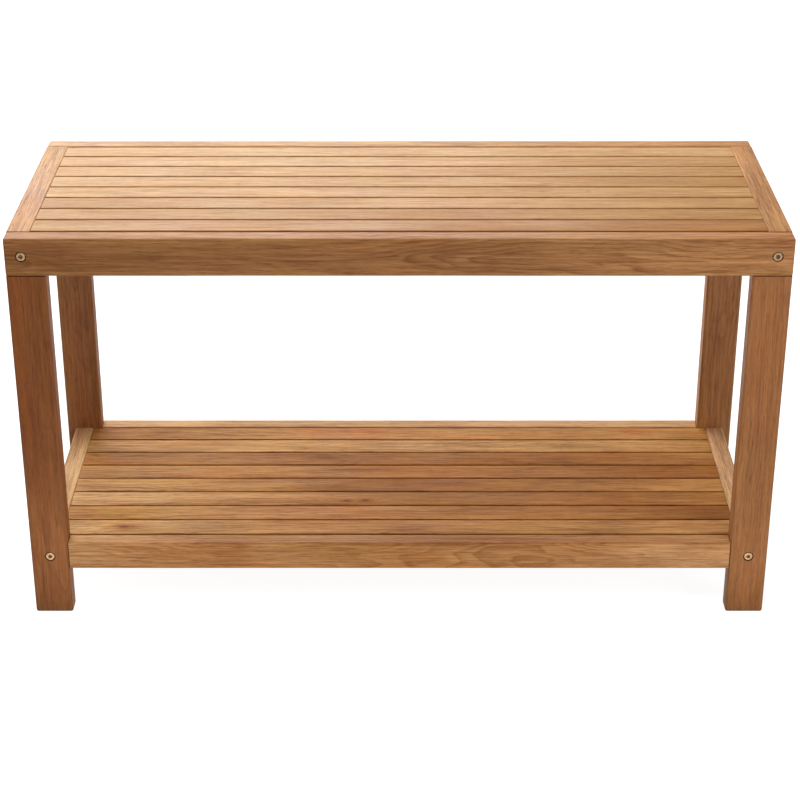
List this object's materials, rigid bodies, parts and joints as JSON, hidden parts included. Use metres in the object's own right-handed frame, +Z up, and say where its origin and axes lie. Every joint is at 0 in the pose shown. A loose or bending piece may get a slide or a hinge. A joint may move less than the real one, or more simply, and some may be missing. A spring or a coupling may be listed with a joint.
{
  "type": "slatted entryway bench",
  "caption": "Backless slatted wooden entryway bench on straight legs, with a slatted seat and a low slatted shoe shelf, held together by furniture bolts.",
  "frame": {"origin": "on the floor, under the middle of the seat's bounding box", "axes": "+X along the seat to the right, +Y from the front to the back, +Z up"},
  "size_m": [0.9, 0.347, 0.495],
  "materials": {
    "seat_frame": "satin, oiled",
    "seat_slats": "satin, oiled",
    "legs": "satin, oiled",
    "shelf_frame": "satin, oiled",
    "shelf_slats": "satin, oiled",
    "battens": "sawn, oiled",
    "pegs": "fluted beech",
    "bolts": "brass plated, satin",
    "nuts": "zinc plated"
  },
  "bodies": {
    "root": {"front_left_leg": "legs", "front_right_leg": "legs", "rear_left_leg": "legs", "rear_right_leg": "legs", "seat_front_rail": "seat_frame", "seat_rear_rail": "seat_frame", "seat_left_rail": "seat_frame", "seat_right_rail": "seat_frame", "seat_slat_1": "seat_slats", "seat_slat_2": "seat_slats", "seat_slat_3": "seat_slats", "seat_slat_4": "seat_slats", "seat_slat_5": "seat_slats", "seat_slat_6": "seat_slats", "seat_slat_7": "seat_slats", "seat_slat_8": "seat_slats", "seat_batten_left": "battens", "seat_batten_middle": "battens", "seat_batten_right": "battens", "seat_bolt_front_left": "bolts", "seat_nut_front_left": "nuts", "seat_dowel_front_left": "pegs", "seat_bolt_front_right": "bolts", "seat_nut_front_right": "nuts", "seat_dowel_front_right": "pegs", "seat_bolt_rear_left": "bolts", "seat_nut_rear_left": "nuts", "seat_dowel_rear_left": "pegs", "seat_bolt_rear_right": "bolts", "seat_nut_rear_right": "nuts", "seat_dowel_rear_right": "pegs", "shelf_front_rail": "shelf_frame", "shelf_rear_rail": "shelf_frame", "shelf_left_rail": "shelf_frame", "shelf_right_rail": "shelf_frame", "shelf_slat_1": "shelf_slats", "shelf_slat_2": "shelf_slats", "shelf_slat_3": "shelf_slats", "shelf_slat_4": "shelf_slats", "shelf_slat_5": "shelf_slats", "shelf_slat_6": "shelf_slats", "shelf_slat_7": "shelf_slats", "shelf_slat_8": "shelf_slats", "shelf_batten_left": "battens", "shelf_batten_middle": "battens", "shelf_batten_right": "battens", "shelf_bolt_front_left": "bolts", "shelf_nut_front_left": "nuts", "shelf_tenon_front_left": "pegs", "shelf_bolt_front_right": "bolts", "shelf_nut_front_right": "nuts", "shelf_tenon_front_right": "pegs", "shelf_bolt_rear_left": "bolts", "shelf_nut_rear_left": "nuts", "shelf_tenon_rear_left": "pegs", "shelf_bolt_rear_right": "bolts", "shelf_nut_rear_right": "nuts", "shelf_tenon_rear_right": "pegs"}
  },
  "joints": []
}
